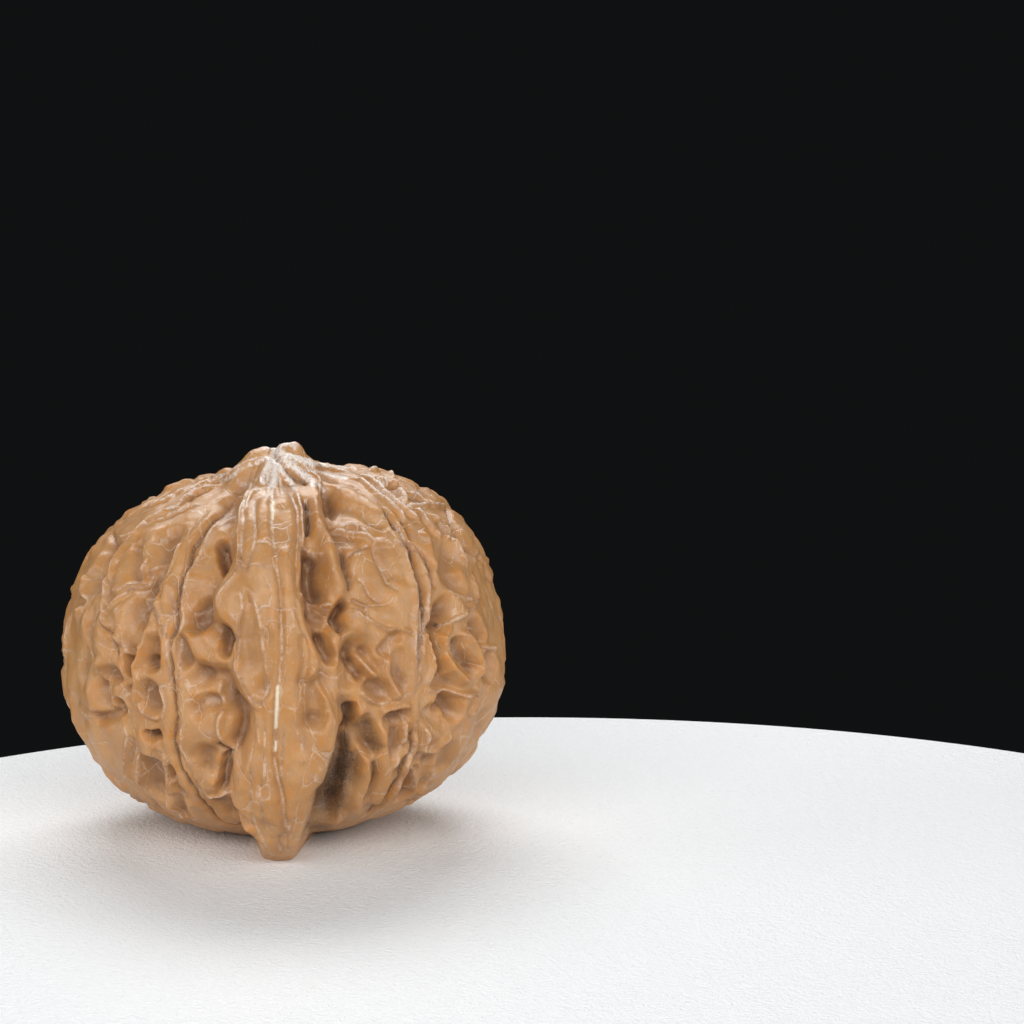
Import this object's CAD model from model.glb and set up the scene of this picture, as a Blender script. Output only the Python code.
"""Looks of a wenwan walnut: the finely folded shell with its waxed finish, on a pale table in soft light.

The shell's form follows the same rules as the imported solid: a squarish egg, a raised ridge where the halves
meet and a low tip. The folds of the front are drawn by hand over the photograph, in its pixels, and thrown onto
the shell along the camera's rays. The folds of the sides and the back follow from rules and a seeded draw.
Lengths are in millimetres until a mesh is made, in metres.
"""

import logging
import math
from dataclasses import dataclass, field
from enum import Enum
from typing import Any, NamedTuple

import bpy
import numpy as np
from mathutils import Matrix, Vector, noise

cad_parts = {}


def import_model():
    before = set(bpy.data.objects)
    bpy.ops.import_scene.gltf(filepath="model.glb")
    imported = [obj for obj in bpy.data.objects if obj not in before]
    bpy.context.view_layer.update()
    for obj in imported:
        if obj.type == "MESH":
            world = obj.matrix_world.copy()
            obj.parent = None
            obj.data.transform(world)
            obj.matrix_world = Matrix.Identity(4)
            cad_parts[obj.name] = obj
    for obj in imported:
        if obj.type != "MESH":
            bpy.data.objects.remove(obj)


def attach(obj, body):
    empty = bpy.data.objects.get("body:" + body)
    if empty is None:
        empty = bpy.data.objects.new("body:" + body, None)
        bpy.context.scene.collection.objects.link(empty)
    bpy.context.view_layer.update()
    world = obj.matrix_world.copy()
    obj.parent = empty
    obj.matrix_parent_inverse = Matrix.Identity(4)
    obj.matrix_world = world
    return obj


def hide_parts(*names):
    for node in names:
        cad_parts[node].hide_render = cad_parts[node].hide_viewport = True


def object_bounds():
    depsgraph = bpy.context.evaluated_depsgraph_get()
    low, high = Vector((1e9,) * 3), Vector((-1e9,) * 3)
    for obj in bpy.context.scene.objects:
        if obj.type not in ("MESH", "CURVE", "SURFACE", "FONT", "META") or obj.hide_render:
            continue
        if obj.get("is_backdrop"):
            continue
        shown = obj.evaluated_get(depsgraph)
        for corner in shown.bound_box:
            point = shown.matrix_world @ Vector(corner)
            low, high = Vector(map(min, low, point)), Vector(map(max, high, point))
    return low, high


LOG = logging.getLogger("walnut")
METRES_PER_MM = 0.001
PHOTO_SIZE = 1024

Array = np.ndarray
Pixels = tuple[tuple[int, int], ...]


class FoldKind(Enum):
    """What a fold does to the shell's surface."""

    LUMP = "lump"
    HOLLOW = "hollow"
    RIDGE = "ridge"
    GROOVE = "groove"
    CREASE = "crease"


LUMP, HOLLOW, RIDGE, GROOVE, CREASE = FoldKind


class DrawnFold(NamedTuple):
    """A fold as drawn over the photograph: height and half width in mm, path in pixels."""

    kind: FoldKind
    height: float
    half_width: float
    path: Pixels


Mark = tuple[float, float, Pixels]


class Fold(NamedTuple):
    """A fold as it lies on the shell, its path in mm."""

    kind: FoldKind
    height: float
    half_width: float
    path: Array


# edges of the seam ridge on the front
RIDGE_LEFT_EDGE: Pixels = (
    (262, 452), (256, 470), (250, 488), (240, 502), (238, 530), (238, 562), (233, 577), (222, 591),
    (217, 605), (220, 621), (232, 631), (238, 640), (233, 668), (242, 692), (254, 712), (252, 735),
    (243, 760), (236, 785), (243, 808), (252, 826), (257, 840), (261, 857),
)
RIDGE_RIGHT_EDGE: Pixels = (
    (286, 452), (290, 470), (293, 488), (299, 505), (303, 530), (304, 555), (301, 590), (303, 618),
    (310, 636), (317, 655), (319, 668), (318, 682), (330, 696), (338, 716), (335, 740), (328, 762),
    (322, 782), (314, 800), (312, 822), (307, 840), (300, 857),
)

# folds of the front, by region
FRONT_FOLDS: dict[str, tuple[DrawnFold, ...]] = {
    "the seam ridge": (
        DrawnFold(CREASE, 0.35, 0.45, ((276, 452), (273, 480), (273, 510), (274, 532), (276, 550),
            (279, 575), (282, 610), (283, 645), (281, 675), (278, 700), (276, 740), (277, 765), (279, 780),
            (284, 796), (286, 815), (285, 840), (281, 857))),
        DrawnFold(LUMP, 0.3, 0.6, ((277, 560), (275, 600), (274, 640), (272, 680), (270, 720), (271, 760),
            (274, 800), (277, 835))),
        DrawnFold(LUMP, 0.35, 0.7, ((288, 560), (291, 600), (293, 640), (291, 680), (288, 720), (287, 760),
            (291, 800), (294, 835))),
        DrawnFold(RIDGE, 0.45, 0.6, ((252, 488), (243, 505), (239, 530), (239, 556), (235, 578))),
        DrawnFold(CREASE, 0.35, 0.45, ((246, 500), (244, 520), (243, 545), (242, 575))),
        DrawnFold(CREASE, 0.3, 0.4, ((255, 498), (256, 520), (256, 543), (251, 556), (247, 580))),
        DrawnFold(CREASE, 0.25, 0.35, ((257, 545), (266, 545), (274, 546))),
        DrawnFold(LUMP, 0.45, 0.9, ((265, 502), (265, 520), (265, 540))),
        DrawnFold(LUMP, 0.4, 1.0, ((262, 556), (261, 572), (264, 590))),
        DrawnFold(RIDGE, 0.55, 0.9, ((284, 492), (287, 515), (288, 540), (289, 570), (290, 600))),
        DrawnFold(HOLLOW, 0.35, 0.6, ((284, 512), (285, 528), (284, 545))),
        DrawnFold(CREASE, 0.3, 0.5, ((291, 497), (298, 514), (299, 540), (297, 565), (296, 590))),
        DrawnFold(RIDGE, 0.45, 0.5, ((296, 495), (302, 515), (304, 538), (302, 560), (299, 590))),
        DrawnFold(RIDGE, 0.35, 0.4, ((241, 540), (239, 560), (234, 578), (224, 590), (219, 601),
            (219, 614))),
        DrawnFold(LUMP, 0.35, 1.2, ((228, 594), (225, 606), (230, 618))),
        DrawnFold(HOLLOW, 1.3, 0.75, ((231, 630), (233, 638), (231, 652))),
        DrawnFold(RIDGE, 0.25, 0.4, ((241, 590), (243, 606), (241, 625), (241, 645), (239, 665))),
        DrawnFold(HOLLOW, 0.5, 1.0, ((247, 606), (251, 625), (252, 645), (253, 662))),
        DrawnFold(HOLLOW, 0.3, 0.9, ((252, 655), (256, 672), (262, 688))),
        DrawnFold(RIDGE, 0.4, 0.4, ((245, 584), (253, 596), (259, 612), (262, 632), (265, 655), (267, 675),
            (265, 692))),
        DrawnFold(RIDGE, 0.5, 0.6, ((235, 655), (237, 670), (243, 684), (251, 697), (257, 712), (260, 735),
            (262, 755))),
        DrawnFold(CREASE, 0.25, 0.35, ((240, 672), (246, 686), (254, 698), (263, 704), (269, 692),
            (272, 678))),
        DrawnFold(HOLLOW, 0.5, 0.8, ((270, 640), (270, 665), (268, 690))),
        DrawnFold(RIDGE, 0.6, 0.7, ((299, 595), (303, 618), (309, 635), (315, 650), (319, 663), (314, 675),
            (305, 684), (300, 695))),
        DrawnFold(HOLLOW, 0.55, 0.55, ((304, 640), (307, 655), (306, 670), (302, 682))),
        DrawnFold(HOLLOW, 1.1, 1.2, ((310, 688), (314, 702), (316, 716))),
        DrawnFold(HOLLOW, 0.4, 1.1, ((313, 725), (311, 746))),
        DrawnFold(RIDGE, 0.45, 0.7, ((322, 676), (331, 690), (337, 708), (338, 728), (333, 750), (327, 768),
            (322, 785))),
        DrawnFold(LUMP, 0.5, 1.2, ((328, 700), (330, 722), (325, 745))),
        DrawnFold(RIDGE, 0.35, 0.6, ((297, 700), (297, 725), (303, 745), (306, 765))),
        DrawnFold(LUMP, 0.4, 1.1, ((257, 765), (260, 790), (264, 815))),
        DrawnFold(LUMP, 0.45, 1.3, ((297, 765), (300, 788), (298, 808))),
        DrawnFold(CREASE, 0.3, 0.4, ((250, 760), (253, 785), (251, 806), (258, 828), (267, 844),
            (274, 853))),
        DrawnFold(CREASE, 0.25, 0.35, ((268, 720), (266, 750), (266, 770), (261, 792), (265, 815),
            (270, 835))),
        DrawnFold(CREASE, 0.25, 0.35, ((286, 722), (284, 755), (281, 780))),
        DrawnFold(CREASE, 0.3, 0.35, ((303, 814), (293, 818), (289, 830), (290, 850))),
        DrawnFold(RIDGE, 0.3, 0.6, ((314, 790), (311, 815), (306, 838), (300, 850))),
        DrawnFold(LUMP, 0.5, 1.0, ((265, 844), (269, 852))),
        DrawnFold(LUMP, 0.5, 1.0, ((293, 844), (294, 852))),
        DrawnFold(CREASE, 0.3, 0.4, ((281, 835), (282, 855))),
    ),
    "the tip and the fans of lines round it": (
        DrawnFold(LUMP, 0.7, 1.15, ((256, 454), (266, 451))),
        DrawnFold(LUMP, 0.95, 1.05, ((285, 450), (293, 450))),
        DrawnFold(LUMP, 0.35, 1.0, ((303, 455), (312, 461))),
        DrawnFold(GROOVE, 0.6, 0.45, ((276, 445), (275, 452), (278, 459))),
        DrawnFold(LUMP, 0.75, 1.5, ((168, 487), (179, 480), (191, 477), (203, 476))),
        DrawnFold(RIDGE, 0.45, 0.4, ((271, 457), (258, 461), (246, 465), (236, 471), (226, 478),
            (210, 484))),
        DrawnFold(RIDGE, 0.4, 0.4, ((232, 474), (218, 479), (200, 486), (186, 494))),
        DrawnFold(GROOVE, 0.45, 0.35, ((266, 461), (259, 469), (255, 480), (251, 491))),
        DrawnFold(RIDGE, 0.55, 0.5, ((272, 459), (267, 467), (263, 476), (262, 486))),
        DrawnFold(RIDGE, 0.5, 0.45, ((275, 462), (275, 474), (273, 486))),
        DrawnFold(CREASE, 0.3, 0.3, ((270, 471), (269, 483), (269, 496))),
        DrawnFold(CREASE, 0.3, 0.3, ((279, 476), (282, 488), (283, 500))),
        DrawnFold(RIDGE, 0.55, 0.45, ((278, 463), (283, 473), (289, 481), (294, 488))),
        DrawnFold(GROOVE, 0.75, 0.4, ((275, 454), (278, 461), (282, 469), (288, 476), (297, 481),
            (303, 487), (306, 494))),
        DrawnFold(LUMP, 0.75, 0.9, ((288, 465), (298, 472), (307, 479), (313, 483))),
        DrawnFold(RIDGE, 0.5, 0.35, ((284, 458), (296, 465), (308, 473), (318, 482), (323, 490),
            (325, 499))),
        DrawnFold(CREASE, 0.4, 0.4, ((298, 463), (310, 470), (322, 477), (340, 484))),
        DrawnFold(HOLLOW, 0.35, 0.7, ((324, 478), (334, 482))),
        DrawnFold(RIDGE, 0.45, 0.35, ((282, 454), (300, 460), (320, 466), (340, 470), (358, 474))),
        DrawnFold(CREASE, 0.35, 0.3, ((284, 450), (300, 454), (313, 460), (326, 463))),
        DrawnFold(RIDGE, 0.35, 0.35, ((318, 461), (332, 463), (346, 465), (362, 469))),
        DrawnFold(CREASE, 0.3, 0.3, ((296, 462), (316, 467), (338, 468), (350, 471))),
        DrawnFold(HOLLOW, 0.6, 0.9, ((246, 480), (243, 490))),
        DrawnFold(RIDGE, 0.35, 0.3, ((262, 488), (254, 492), (248, 501), (246, 512))),
    ),
    "the folded wall right of the seam ridge": (
        DrawnFold(RIDGE, 1.4, 1.0, ((310, 483), (318, 488), (321, 500), (317, 515), (320, 530), (328, 542),
            (331, 560), (335, 575), (341, 590), (339, 602), (330, 608))),
        DrawnFold(LUMP, 0.9, 1.4, ((304, 492), (308, 508), (312, 528), (320, 546))),
        DrawnFold(LUMP, 0.9, 1.1, ((328, 560), (329, 578), (330, 594), (325, 604))),
        DrawnFold(GROOVE, 1.0, 0.6, ((303, 508), (307, 520), (308, 532), (306, 542))),
        DrawnFold(RIDGE, 0.8, 0.35, ((303, 545), (309, 552), (318, 558), (324, 561))),
        DrawnFold(HOLLOW, 1.9, 1.05, ((307, 562), (306, 576), (307, 588), (312, 599))),
        DrawnFold(HOLLOW, 0.5, 0.8, ((316, 568), (317, 582), (316, 594))),
        DrawnFold(RIDGE, 0.7, 0.4, ((300, 594), (308, 599), (314, 605), (322, 608), (333, 606))),
        DrawnFold(HOLLOW, 1.2, 0.9, ((328, 494), (331, 505), (327, 512))),
        DrawnFold(HOLLOW, 0.8, 1.6, ((330, 500), (334, 520), (340, 535))),
        DrawnFold(GROOVE, 0.6, 0.45, ((341, 550), (345, 564), (348, 580), (347, 597))),
        DrawnFold(HOLLOW, 0.3, 0.9, ((338, 545), (342, 562))),
        DrawnFold(HOLLOW, 0.8, 0.8, ((309, 616), (318, 617))),
        DrawnFold(HOLLOW, 1.8, 0.55, ((340, 608), (336, 615), (336, 623), (339, 630))),
        DrawnFold(LUMP, 0.5, 0.9, ((353, 612), (357, 624), (353, 635))),
        DrawnFold(LUMP, 0.5, 0.8, ((324, 615), (329, 612))),
        DrawnFold(HOLLOW, 0.7, 1.0, ((326, 622), (322, 632))),
        DrawnFold(HOLLOW, 1.5, 0.7, ((318, 642), (322, 650), (327, 657))),
        DrawnFold(LUMP, 1.5, 1.3, ((333, 640), (333, 655), (336, 672), (336, 686))),
        DrawnFold(HOLLOW, 0.9, 0.9, ((345, 658), (343, 680))),
        DrawnFold(HOLLOW, 1.4, 1.3, ((352, 648), (362, 645))),
        DrawnFold(HOLLOW, 1.3, 0.6, ((354, 664), (360, 675))),
        DrawnFold(LUMP, 0.6, 0.9, ((352, 690), (358, 708), (363, 722))),
        DrawnFold(HOLLOW, 1.8, 0.6, ((348, 706), (349, 716), (346, 727))),
        DrawnFold(HOLLOW, 2.2, 1.6, ((344, 738), (340, 755), (338, 772), (333, 790), (328, 805))),
        DrawnFold(HOLLOW, 1.4, 0.9, ((362, 722), (367, 733), (369, 745))),
        DrawnFold(RIDGE, 0.6, 0.6, ((350, 730), (353, 748), (352, 765), (350, 785), (344, 805),
            (335, 822))),
        DrawnFold(LUMP, 0.6, 1.4, ((345, 800), (340, 815), (330, 822))),
        DrawnFold(RIDGE, 0.9, 0.8, ((362, 748), (367, 765), (365, 785), (361, 800), (356, 818))),
        DrawnFold(GROOVE, 0.6, 0.6, ((372, 757), (374, 770), (370, 785), (364, 797))),
        DrawnFold(LUMP, 0.8, 0.9, ((378, 735), (382, 750), (384, 768), (385, 783), (376, 800))),
    ),
    "the left main rib, and the folds between it and the seam": (
        DrawnFold(GROOVE, 0.6, 0.36, ((246, 492), (230, 503), (223, 515), (213, 526), (205, 537),
            (197, 547), (192, 557), (190, 570), (186, 583), (181, 598), (179, 612), (180, 626), (175, 640),
            (174, 652), (176, 668), (178, 685), (180, 703), (180, 720), (178, 735), (181, 752), (185, 765),
            (191, 776), (199, 790), (208, 803), (218, 815), (230, 822), (245, 826))),
        DrawnFold(RIDGE, 0.65, 1.05, ((228, 500), (210, 519), (194, 538), (184, 553), (178, 572),
            (172, 590), (171, 612), (168, 640), (170, 665), (172, 690), (174, 712), (171, 738), (176, 760),
            (184, 776), (193, 792), (206, 810), (222, 822))),
        DrawnFold(RIDGE, 0.3, 0.5, ((238, 503), (224, 520), (212, 532), (203, 546), (196, 562), (190, 582),
            (185, 602), (186, 622), (182, 640), (182, 665), (184, 690), (185, 715), (184, 740), (190, 760),
            (199, 778), (210, 797), (226, 812))),
        DrawnFold(CREASE, 0.4, 0.35, ((176, 592), (177, 612), (171, 628), (171, 650), (174, 680),
            (172, 700))),
        DrawnFold(CREASE, 0.3, 0.3, ((160, 607), (165, 622), (166, 640))),
        DrawnFold(HOLLOW, 0.5, 1.9, ((213, 552), (211, 572), (210, 590))),
        DrawnFold(HOLLOW, 1.7, 0.6, ((223, 548), (226, 560), (230, 573))),
        DrawnFold(HOLLOW, 0.5, 0.9, ((232, 545), (233, 560))),
        DrawnFold(HOLLOW, 0.7, 1.3, ((232, 505), (232, 520))),
        DrawnFold(LUMP, 0.5, 1.4, ((196, 580), (192, 600))),
        DrawnFold(HOLLOW, 1.2, 0.9, ((212, 606), (207, 616), (203, 624))),
        DrawnFold(HOLLOW, 0.5, 0.8, ((212, 622), (204, 628))),
        DrawnFold(RIDGE, 0.8, 0.8, ((182, 628), (192, 640), (199, 652), (209, 661), (221, 664),
            (231, 662))),
        DrawnFold(LUMP, 1.1, 1.5, ((203, 638), (212, 648), (222, 652))),
        DrawnFold(HOLLOW, 0.8, 0.9, ((187, 645), (189, 658))),
        DrawnFold(HOLLOW, 0.9, 1.0, ((207, 672), (203, 680))),
        DrawnFold(HOLLOW, 0.7, 1.4, ((220, 672), (232, 680), (236, 692))),
        DrawnFold(RIDGE, 0.4, 0.5, ((221, 680), (223, 695), (226, 705))),
        DrawnFold(LUMP, 0.5, 1.6, ((193, 690), (195, 715), (196, 740))),
        DrawnFold(HOLLOW, 0.9, 0.9, ((203, 709), (209, 703), (215, 702))),
        DrawnFold(HOLLOW, 0.4, 0.8, ((224, 703), (229, 706))),
        DrawnFold(LUMP, 0.7, 1.5, ((215, 718), (213, 730))),
        DrawnFold(RIDGE, 0.7, 0.55, ((228, 706), (223, 718), (223, 732), (229, 743), (238, 750))),
        DrawnFold(HOLLOW, 0.8, 0.9, ((243, 700), (248, 718), (243, 735))),
        DrawnFold(LUMP, 0.7, 1.0, ((232, 715), (233, 732))),
        DrawnFold(HOLLOW, 0.9, 1.2, ((211, 754), (213, 766))),
        DrawnFold(GROOVE, 0.8, 0.5, ((219, 742), (226, 745), (233, 750), (227, 756))),
        DrawnFold(HOLLOW, 1.0, 0.6, ((230, 758), (228, 772), (226, 786))),
        DrawnFold(LUMP, 0.5, 0.9, ((219, 762), (217, 776), (214, 788))),
        DrawnFold(RIDGE, 0.5, 0.35, ((206, 797), (218, 797), (228, 793), (234, 790))),
        DrawnFold(HOLLOW, 0.7, 1.0, ((225, 802), (235, 808))),
        DrawnFold(LUMP, 0.6, 1.0, ((237, 760), (239, 785))),
    ),
    "the upper left side": (
        DrawnFold(LUMP, 1.2, 1.6, ((168, 480), (180, 477), (188, 477))),
        DrawnFold(GROOVE, 0.6, 0.5, ((192, 477), (176, 484), (163, 492), (153, 497))),
        DrawnFold(RIDGE, 0.5, 0.4, ((225, 477), (205, 478), (188, 482), (170, 488), (150, 498))),
        DrawnFold(RIDGE, 0.4, 0.35, ((215, 482), (197, 485), (180, 493), (163, 502), (146, 508))),
        DrawnFold(CREASE, 0.3, 0.3, ((205, 484), (185, 492), (172, 500))),
        DrawnFold(RIDGE, 0.7, 0.55, ((222, 484), (207, 489), (192, 496), (180, 505), (166, 513), (152, 519),
            (143, 528), (130, 543), (120, 557), (113, 573), (111, 588))),
        DrawnFold(GROOVE, 0.45, 0.35, ((212, 492), (196, 499), (184, 507), (170, 514))),
        DrawnFold(RIDGE, 0.3, 0.3, ((202, 503), (188, 507), (175, 513), (163, 519), (152, 524),
            (143, 531))),
        DrawnFold(RIDGE, 0.45, 0.4, ((113, 541), (125, 537), (137, 533), (142, 529))),
        DrawnFold(LUMP, 0.5, 0.8, ((103, 537), (96, 548))),
        DrawnFold(GROOVE, 0.5, 0.5, ((113, 533), (115, 542), (108, 556), (104, 572), (103, 590))),
        DrawnFold(HOLLOW, 0.8, 1.2, ((114, 548), (106, 565), (100, 585))),
        DrawnFold(LUMP, 0.5, 1.3, ((131, 555), (124, 572), (122, 585))),
        DrawnFold(HOLLOW, 0.5, 0.6, ((143, 547), (142, 562), (141, 580))),
        DrawnFold(LUMP, 0.5, 1.2, ((152, 535), (151, 552), (148, 566))),
        DrawnFold(RIDGE, 0.5, 0.5, ((112, 591), (122, 592), (133, 587), (142, 582), (148, 570),
            (152, 560))),
        DrawnFold(RIDGE, 0.4, 0.3, ((168, 562), (156, 567), (150, 577), (143, 586), (132, 592), (122, 600),
            (110, 610), (100, 617))),
        DrawnFold(HOLLOW, 1.0, 1.2, ((175, 538), (168, 556), (163, 575), (158, 592))),
        DrawnFold(RIDGE, 0.8, 0.6, ((184, 540), (177, 556), (170, 572), (162, 587), (160, 600), (163, 618),
            (168, 634))),
        DrawnFold(HOLLOW, 1.0, 1.1, ((152, 588), (152, 600))),
        DrawnFold(LUMP, 0.7, 1.1, ((168, 590), (166, 602))),
        DrawnFold(RIDGE, 0.5, 0.4, ((108, 575), (106, 592), (104, 608), (107, 620), (112, 630))),
        DrawnFold(HOLLOW, 0.6, 0.8, ((95, 575), (93, 592), (90, 605))),
        DrawnFold(RIDGE, 0.5, 0.5, ((86, 572), (84, 590), (87, 602), (80, 612), (77, 622))),
        DrawnFold(CREASE, 0.4, 0.4, ((98, 620), (92, 632), (92, 650))),
        DrawnFold(LUMP, 0.4, 0.9, ((88, 615), (86, 632))),
    ),
    "the lower left side": (
        DrawnFold(LUMP, 0.55, 2.6, ((68, 690), (80, 730), (98, 762), (122, 788))),
        DrawnFold(RIDGE, 0.35, 0.4, ((72, 612), (69, 632), (67, 655), (67, 675))),
        DrawnFold(LUMP, 0.9, 1.5, ((105, 632), (103, 645), (108, 658))),
        DrawnFold(LUMP, 0.9, 1.5, ((121, 612), (124, 628), (132, 640))),
        DrawnFold(GROOVE, 0.5, 0.4, ((104, 612), (110, 626), (119, 636), (122, 650), (124, 664))),
        DrawnFold(RIDGE, 0.5, 0.35, ((118, 634), (125, 643), (129, 655), (133, 663))),
        DrawnFold(HOLLOW, 1.2, 1.1, ((143, 612), (141, 630), (137, 648))),
        DrawnFold(HOLLOW, 1.6, 0.55, ((134, 661), (135, 670))),
        DrawnFold(RIDGE, 0.9, 0.7, ((152, 622), (147, 640), (141, 655), (137, 668), (139, 682), (137, 697),
            (138, 712))),
        DrawnFold(LUMP, 0.8, 0.9, ((103, 668), (102, 678))),
        DrawnFold(LUMP, 0.5, 0.9, ((126, 660), (127, 668))),
        DrawnFold(HOLLOW, 1.0, 0.8, ((107, 680), (112, 674), (120, 674))),
        DrawnFold(HOLLOW, 0.7, 0.8, ((106, 690), (109, 702))),
        DrawnFold(LUMP, 0.8, 1.2, ((93, 693), (96, 705))),
        DrawnFold(HOLLOW, 0.9, 0.6, ((103, 717), (114, 716), (120, 713))),
        DrawnFold(LUMP, 0.5, 0.8, ((120, 690), (118, 700))),
        DrawnFold(HOLLOW, 1.4, 0.6, ((124, 702), (127, 707))),
        DrawnFold(HOLLOW, 0.6, 0.5, ((133, 690), (135, 700))),
        DrawnFold(LUMP, 0.5, 0.6, ((131, 696), (131, 703))),
        DrawnFold(HOLLOW, 0.8, 0.9, ((156, 645), (157, 655))),
        DrawnFold(HOLLOW, 1.1, 0.6, ((156, 662), (158, 666))),
        DrawnFold(LUMP, 0.5, 1.0, ((158, 680), (150, 680))),
        DrawnFold(HOLLOW, 1.0, 1.0, ((154, 690), (156, 702))),
        DrawnFold(RIDGE, 0.6, 0.5, ((140, 702), (145, 712), (153, 717), (162, 719))),
        DrawnFold(RIDGE, 0.5, 0.5, ((160, 688), (165, 698), (167, 710), (164, 722))),
        DrawnFold(HOLLOW, 1.5, 0.45, ((154, 733), (159, 734), (164, 733))),
        DrawnFold(LUMP, 0.7, 1.2, ((148, 742), (150, 752))),
        DrawnFold(RIDGE, 0.6, 0.6, ((163, 736), (160, 747), (166, 755), (168, 770), (170, 785),
            (172, 800))),
        DrawnFold(HOLLOW, 1.4, 1.5, ((155, 766), (157, 778), (161, 790))),
        DrawnFold(RIDGE, 0.5, 0.5, ((138, 755), (139, 772), (142, 788))),
        DrawnFold(RIDGE, 0.5, 0.5, ((125, 722), (130, 735), (128, 750), (127, 768), (133, 782))),
        DrawnFold(CREASE, 0.4, 0.4, ((133, 735), (137, 750), (134, 765))),
        DrawnFold(HOLLOW, 0.8, 0.6, ((176, 768), (176, 776))),
        DrawnFold(HOLLOW, 0.8, 0.6, ((184, 786), (187, 792))),
        DrawnFold(RIDGE, 0.4, 0.5, ((150, 792), (163, 800), (178, 812), (188, 820))),
        DrawnFold(CREASE, 0.4, 0.4, ((152, 798), (165, 810), (178, 818))),
        DrawnFold(LUMP, 0.5, 1.0, ((192, 805), (198, 815))),
        DrawnFold(HOLLOW, 0.6, 0.8, ((182, 798), (187, 812))),
        DrawnFold(LUMP, 0.5, 1.5, ((95, 735), (103, 752))),
        DrawnFold(HOLLOW, 0.5, 1.0, ((80, 705), (85, 725))),
        DrawnFold(HOLLOW, 0.5, 1.0, ((88, 660), (85, 675))),
        DrawnFold(RIDGE, 0.35, 0.4, ((76, 700), (84, 712), (95, 720))),
    ),
    "the upper right side": (
        DrawnFold(RIDGE, 0.6, 0.45, ((325, 512), (331, 519), (342, 522), (352, 523), (361, 529),
            (369, 536))),
        DrawnFold(RIDGE, 0.5, 0.4, ((331, 525), (345, 527), (356, 532), (368, 536), (373, 541), (385, 541),
            (397, 545))),
        DrawnFold(HOLLOW, 0.5, 0.8, ((345, 508), (360, 515), (378, 526))),
        DrawnFold(LUMP, 0.4, 1.4, ((350, 495), (365, 503), (378, 514))),
        DrawnFold(RIDGE, 0.5, 0.35, ((350, 477), (362, 480), (370, 487), (381, 496), (392, 505), (402, 515),
            (410, 521))),
        DrawnFold(RIDGE, 0.6, 0.4, ((360, 473), (374, 481), (385, 492), (397, 503), (410, 513),
            (423, 524))),
        DrawnFold(CREASE, 0.35, 0.3, ((355, 477), (370, 484), (385, 498), (400, 511))),
        DrawnFold(CREASE, 0.35, 0.3, ((366, 473), (380, 482), (392, 494), (403, 504), (418, 517))),
        DrawnFold(RIDGE, 0.5, 0.4, ((366, 470), (382, 470), (390, 474), (398, 478))),
        DrawnFold(RIDGE, 0.5, 0.45, ((372, 477), (382, 478), (390, 485))),
        DrawnFold(RIDGE, 0.5, 0.35, ((392, 481), (400, 484))),
        DrawnFold(CREASE, 0.4, 0.3, ((348, 485), (362, 494), (378, 506))),
        DrawnFold(RIDGE, 0.8, 0.6, ((400, 486), (404, 494), (405, 503))),
        DrawnFold(HOLLOW, 0.6, 0.7, ((393, 488), (396, 496))),
        DrawnFold(RIDGE, 0.5, 0.35, ((402, 505), (416, 506), (430, 504), (447, 505))),
        DrawnFold(RIDGE, 0.4, 0.4, ((410, 491), (425, 495), (438, 502))),
        DrawnFold(HOLLOW, 0.5, 0.8, ((412, 499), (428, 500))),
        DrawnFold(RIDGE, 0.5, 0.35, ((415, 507), (421, 515), (432, 528), (442, 538))),
        DrawnFold(RIDGE, 0.5, 0.35, ((428, 512), (440, 521), (450, 530), (456, 542), (462, 556),
            (470, 565))),
        DrawnFold(RIDGE, 0.4, 0.35, ((446, 538), (455, 540))),
        DrawnFold(HOLLOW, 0.8, 0.6, ((440, 528), (448, 537))),
        DrawnFold(GROOVE, 0.6, 0.5, ((446, 508), (450, 520), (455, 532), (462, 548), (470, 556))),
        DrawnFold(LUMP, 0.4, 1.6, ((466, 532), (475, 546))),
        DrawnFold(HOLLOW, 0.5, 0.5, ((467, 554), (480, 559))),
        DrawnFold(RIDGE, 0.35, 0.35, ((462, 556), (470, 558), (477, 562))),
        DrawnFold(RIDGE, 0.7, 0.8, ((423, 530), (429, 543), (431, 556), (438, 572))),
        DrawnFold(HOLLOW, 0.8, 1.2, ((450, 556), (446, 572), (455, 585))),
        DrawnFold(HOLLOW, 0.3, 1.3, ((385, 552), (388, 570))),
        DrawnFold(CREASE, 0.4, 0.45, ((373, 541), (375, 556), (383, 570), (388, 584), (398, 594))),
        DrawnFold(CREASE, 0.35, 0.4, ((369, 545), (358, 552), (348, 560), (347, 575))),
        DrawnFold(LUMP, 0.35, 1.2, ((362, 560), (368, 578))),
        DrawnFold(LUMP, 0.35, 1.2, ((398, 556), (405, 575), (412, 590))),
        DrawnFold(CREASE, 0.3, 0.35, ((356, 580), (366, 592), (374, 602), (382, 606))),
        DrawnFold(LUMP, 0.4, 0.9, ((356, 588), (358, 598))),
        DrawnFold(RIDGE, 0.4, 0.35, ((448, 590), (462, 597), (474, 602))),
        DrawnFold(RIDGE, 0.4, 0.35, ((474, 570), (475, 582), (478, 595), (475, 605), (462, 616), (448, 622),
            (440, 628))),
        DrawnFold(HOLLOW, 0.5, 1.0, ((488, 575), (492, 595))),
    ),
    "the right main rib": (
        DrawnFold(GROOVE, 0.8, 0.5, ((372, 500), (382, 510), (391, 524), (400, 537), (406, 550), (411, 562),
            (415, 577), (419, 590), (421, 602), (421, 622), (418, 640), (418, 660), (419, 680))),
        DrawnFold(GROOVE, 0.6, 0.45, ((400, 518), (406, 530), (410, 542), (420, 554), (427, 566),
            (432, 580), (434, 592))),
        DrawnFold(RIDGE, 0.7, 0.6, ((394, 518), (403, 535), (411, 548), (420, 562), (425, 578), (428, 595),
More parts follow.
